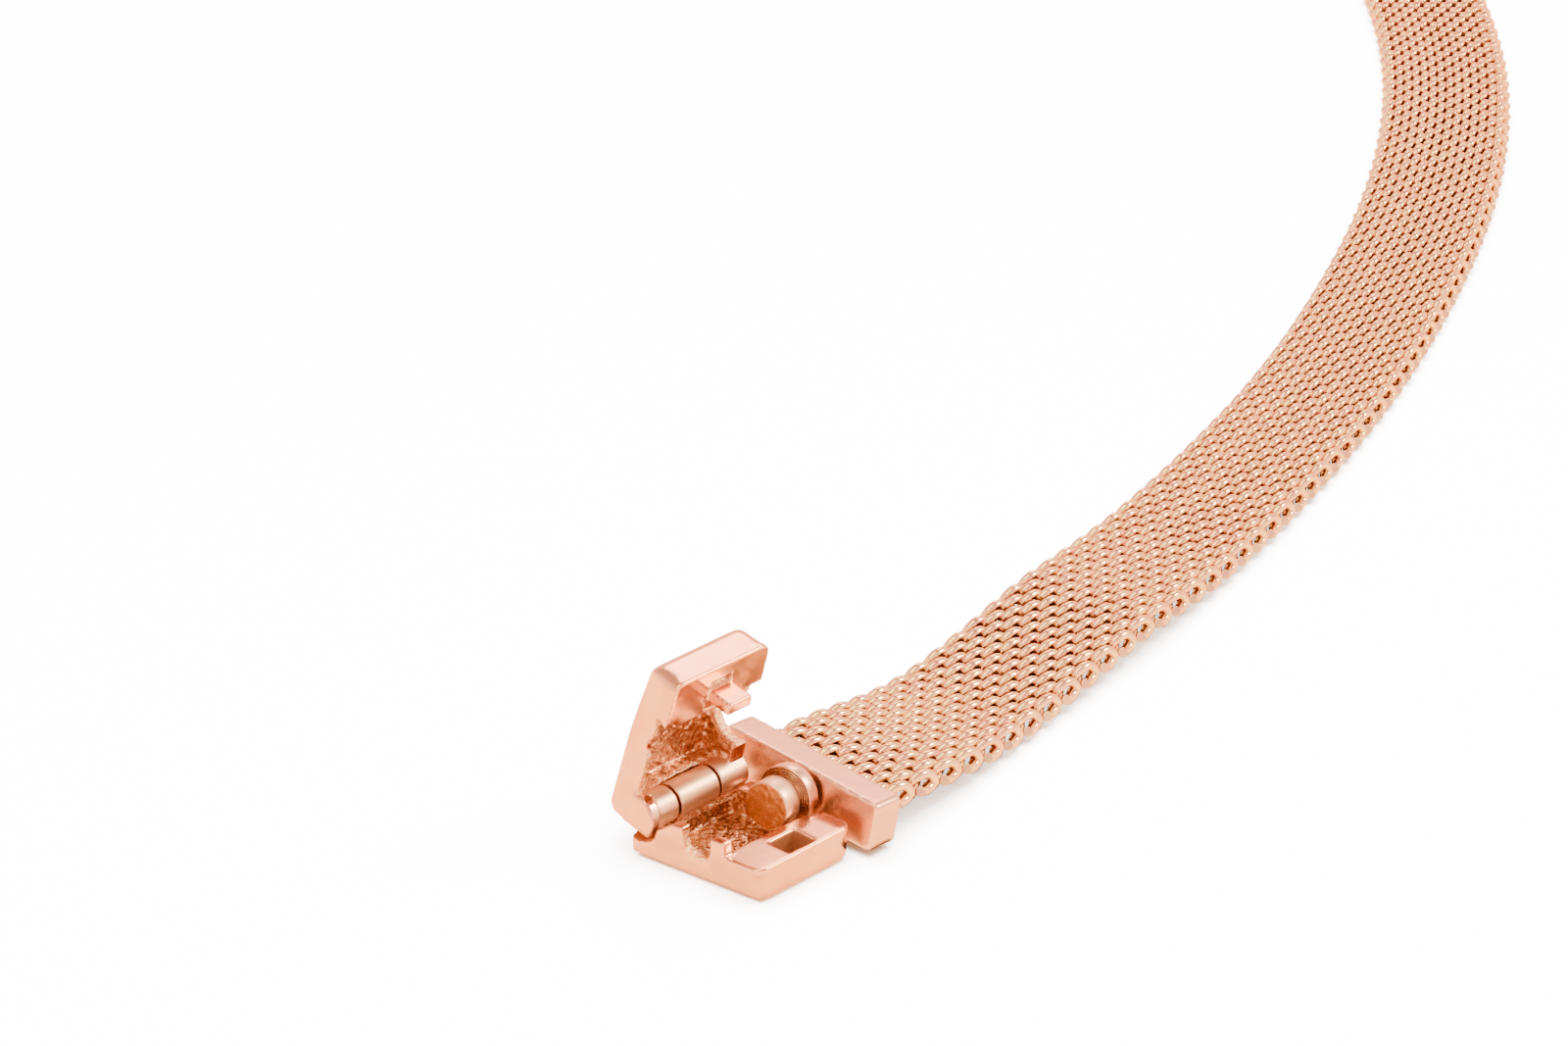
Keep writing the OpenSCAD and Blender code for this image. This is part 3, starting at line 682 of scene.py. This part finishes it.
# One coil's middle line as it lies in the band: along it, across it and up
def coilPath(odd):
    turns = weave["columns"] // 2
    pitch = weave["turnPitch"]
    firstColumn = -(weave["columns"] - 1) / 2 * pitch / 2
    shift = firstColumn - pitch / 4 + (pitch / 2 if odd else 0)
    # the coil with the outermost top wire curls back under it, the other stops short below
    first, last = (-math.pi, turns * 2 * math.pi - math.pi) if odd else (0, turns * 2 * math.pi)
    curl, short = weave["curl"] * math.pi, weave["short"] * math.pi
    start = first + (short if odd else -curl)
    end = last + (curl if odd else -short)
    count = int(round((end - start) / (2 * math.pi) * weave["segments"]))
    t = np.linspace(start, end, count + 1)
    # past its edge a coil moves on sideways only a little, and its cut end turns outwards
    inner = np.clip(t, first, last)
    past = (t - inner) / curl
    side = (shift + pitch / (2 * math.pi) * (inner + weave["sway"] / 2 * np.sin(2 * inner))
            + np.sign(past) * weave["turnOut"] * past ** weave["turnOutPower"])
    # flattened in the mill: long flat crowns and short steep ends, but round where the coil ends
    square = np.clip((last - t if odd else t - first) / math.pi, 0, 1)
    long = np.sign(np.cos(t)) * np.abs(np.cos(t)) ** (1 + square * (weave["squareLong"] - 1))
    high = np.sign(np.sin(t)) * np.abs(np.sin(t)) ** (1 + square * (weave["squareHigh"] - 1))
    high = high * np.where(past == 0, 1, weave["endHigh"])
    return np.stack([weave["halfLong"] * long, side, weave["halfHigh"] * high], axis=1)


def tube(centres, radius, sides):
    tangents = np.gradient(centres, axis=0)
    tangents /= np.linalg.norm(tangents, axis=1)[:, None]
    # carry one normal along the wire so that the tube doesn't twist, from any that isn't along it
    normal = np.cross(tangents[0], [0.3, 0.2, 0.9])
    normals = []
    for tangent in tangents:
        normal = normal - tangent * (normal @ tangent)
        normal /= np.linalg.norm(normal)
        normals.append(normal)
    normals = np.array(normals)
    others = np.cross(tangents, normals)
    angle = 2 * np.pi * np.arange(sides) / sides
    ring = (normals[:, None] * np.cos(angle)[None, :, None] + others[:, None] * np.sin(angle)[None, :, None])
    # flat cut ends with the burr taken off: a slightly smaller ring, then one that closes the face
    body = centres[:, None] + ring * radius
    caps = []
    for at, way in ((0, -1), (-1, 1)):
        face = centres[at] + way * tangents[at] * radius * weave["capOut"]
        caps.append([face + ring[at] * radius * share for share in weave["capRings"]])
    return np.concatenate([np.array(caps[0][::-1]), body, np.array(caps[1])])


def makeWeave():
    paths = [coilPath(False), coilPath(True)]
    # the first and last coils lie in the solder inside their bars
    first = weave["first"]
    count = int(round((band["length"] - 2 * first) / weave["coilStep"])) + 1
    step = (band["length"] - 2 * first) / (count - 1)
    points, quads, kinds, total = [], [], [], 0
    parts = []
    perPart = -(-count // weave["pieces"])
    cap = len(weave["capRings"])
    for j in range(count):
        u, v, w = paths[(j + 1) % 2].T
        s = first + j * step + u
        centres = onLine(middle, s) + onLine(across, s) * v[:, None] + onLine(out, s) * w[:, None]
        rings = tube(centres, weave["wire"], weave["sides"])
        points.append(rings.reshape(-1, 3))
        quads.append(tubeQuads(len(rings), weave["sides"], total))
        # how far each face is above or below the middle of the band, and how near its edge
        heights = np.einsum("ijk,ik->ij", rings[cap:-cap] - onLine(middle, s)[:, None], onLine(out, s))
        pairs = heights + np.roll(heights, -1, axis=1)
        faces = np.abs(pairs[:-1] + pairs[1:]) / 4
        # faces low in the band and back from its edges get the painted shade
        deep = (faces < weave["paintedShade"]) & (np.abs(v[:-1, None]) < band["width"] / 2 - weave["open"])
        kinds.append(np.pad(deep, ((cap, cap), (0, 0))).astype(int).ravel())
        total += rings.shape[0] * rings.shape[1]
        if (j + 1) % perPart == 0 or j == count - 1:
            name = "woven_mesh_%d" % (len(parts) + 1)
            piece = meshFromArrays(name, np.concatenate(points), np.concatenate(quads),
                                   [wireMetal, paintedShade], np.concatenate(kinds))
            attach(piece, "base")
            parts.append(piece)
            print(piece.name, len(piece.data.polygons), "faces")
            points, quads, kinds, total = [], [], [], 0
    for piece in parts:
        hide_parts("mesh_band")


makeWeave()
print("weave made")


# Table: a sweep of white paper
table = {"size": 3, "place": (0.05, 0.03, 0), "colour": "#FEFEFE", "rough": 0.5}


def makeStage(s):
    bpy.ops.mesh.primitive_plane_add(size=s["size"], location=s["place"])
    floor = bpy.context.object
    floor.name = "table"
    material = bpy.data.materials.new("white_sweep")
    material.use_nodes = True
    shader = material.node_tree.nodes["Principled BSDF"]
    shader.inputs["Base Color"].default_value = linear(s["colour"])
    shader.inputs["Roughness"].default_value = s["rough"]
    floor.data.materials.append(material)
    # the table is lit to plain white, so it's kept out of the metal's reflections
    floor.visible_glossy = False


# The bracelet's own shade on the table: a dark card under it that only the metal's reflections see. Its
# edges keep inside the band's and the clasp's
shade = {"bandInset": 0.3, "claspInset": 0.7, "height": 0.02, "colour": "#3A2418", "rough": 0.9}


def makeShade(s):
    inside = (lineS > 0) & (lineS < band["length"])
    half = band["width"] / 2 - s["bandInset"]
    strip = np.stack([middle[inside] + k * half * across[inside] for k in (-1, 1)], axis=1).reshape(-1, 3)
    i = 2 * np.arange(inside.sum() - 1)
    quads = np.stack([i, i + 2, i + 3, i + 1], axis=1)
    under = [(a * bar["depth"] / 2, b * bar["long"] / 2, 0) for a, b in ((-1, -1), (1, -1), (1, 1), (-1, 1))]
    inset = s["claspInset"]
    y = openY + inset
    foot = np.array([(frontAt(y) + inset, y, 0), (backAt(y) - inset, y, 0), (backAt(-y) - inset, -y, 0),
                     (frontAt(-y) + inset, -y, 0)])
    n = len(strip)
    points = np.concatenate([strip, moved(np.array(under), nearBar), foot])
    points[:, 2] = s["height"]
    quads = np.concatenate([quads, [(n, n + 1, n + 2, n + 3), (n + 4, n + 5, n + 6, n + 7)]])
    material = bpy.data.materials.new("dark_card")
    material.use_nodes = True
    shader = material.node_tree.nodes["Principled BSDF"]
    shader.inputs["Base Color"].default_value = linear(s["colour"])
    shader.inputs["Roughness"].default_value = s["rough"]
    card = meshFromArrays("shade_card", points, quads, [material])
    card.visible_camera = False
    card.visible_diffuse = False
    card.visible_shadow = False


def softBox(name, place, target, size, power, colour, inMetal=True):
    data = bpy.data.lights.new(name, "AREA")
    data.shape = "RECTANGLE"
    data.size, data.size_y = size
    data.energy = power
    data.color = linear(colour)[:3]
    thing = bpy.data.objects.new(name, data)
    thing.visible_glossy = inMetal
    thing.location = Vector(place)
    thing.rotation_euler = (Vector(target) - Vector(place)).to_track_quat("-Z", "Y").to_euler()
    bpy.context.scene.collection.objects.link(thing)


makeStage(table)
makeShade(shade)
# a wide box lights the paper, and three small ones give the metal its highlights. Places are in metres
softBox("sweep_box", (0.05, 0.05, 0.9), (0.05, 0.03, 0), (1.2, 1.2), 190, "#F4FAFF", inMetal=False)
softBox("key_box", (0.44, -0.34, 0.42), (0, 0, 0), (0.18, 0.18), 6, "#FFE2B4")
softBox("top_box", (-0.13, 0, 0.5), (0, 0, 0), (0.25, 0.5), 3.2, "#FFD890")
softBox("back_box", (0.42, 0.28, 0.45), (0, 0, 0), (0.22, 0.22), 1.5, "#FFC8AC")


# Room around the table: walls of warm paper, brightest near the table's own level
def makeWorld(s):
    world = bpy.data.worlds.new("studio")
    bpy.context.scene.world = world
    world.use_nodes = True
    tree = world.node_tree
    direction = addNode(tree, "ShaderNodeTexCoord").outputs["Generated"]
    height = addNode(tree, "ShaderNodeSeparateXYZ", links={"Vector": direction}).outputs["Z"]
    share = addNode(tree, "ShaderNodeMapRange", {"From Min": -1.0, "From Max": 1.0},
                    {"Value": height}).outputs["Result"]
    stops = [((z + 1) / 2, tuple(v / s["top"] * c for c in linear(tint)[:3]) + (1,))
             for z, v, tint in s["rows"]]
    light = addNode(tree, "ShaderNodeValToRGB", {"stops": stops}, {"Fac": share}).outputs["Color"]
    back = tree.nodes["Background"]
    back.inputs["Strength"].default_value = s["top"]
    tree.links.new(light, back.inputs["Color"])


# Each row is the height of the direction, the brightness and the tint: warm near the table, pinker above,
# and darker straight up and down
makeWorld({"top": 6.5, "rows": [(-1, 2.0, "#FFC084"), (-0.8, 4.2, "#FFC084"), (-0.5, 5.9, "#FFC084"),
                                (-0.2, 5.9, "#FFC084"), (0, 4.6, "#FFC294"), (0.3, 3.2, "#FFC4AC"),
                                (0.5, 3.4, "#FFC4AC"), (0.7, 2.0, "#FFC4AC"), (1, 1.2, "#FFC4AC")]})
print("stage set")
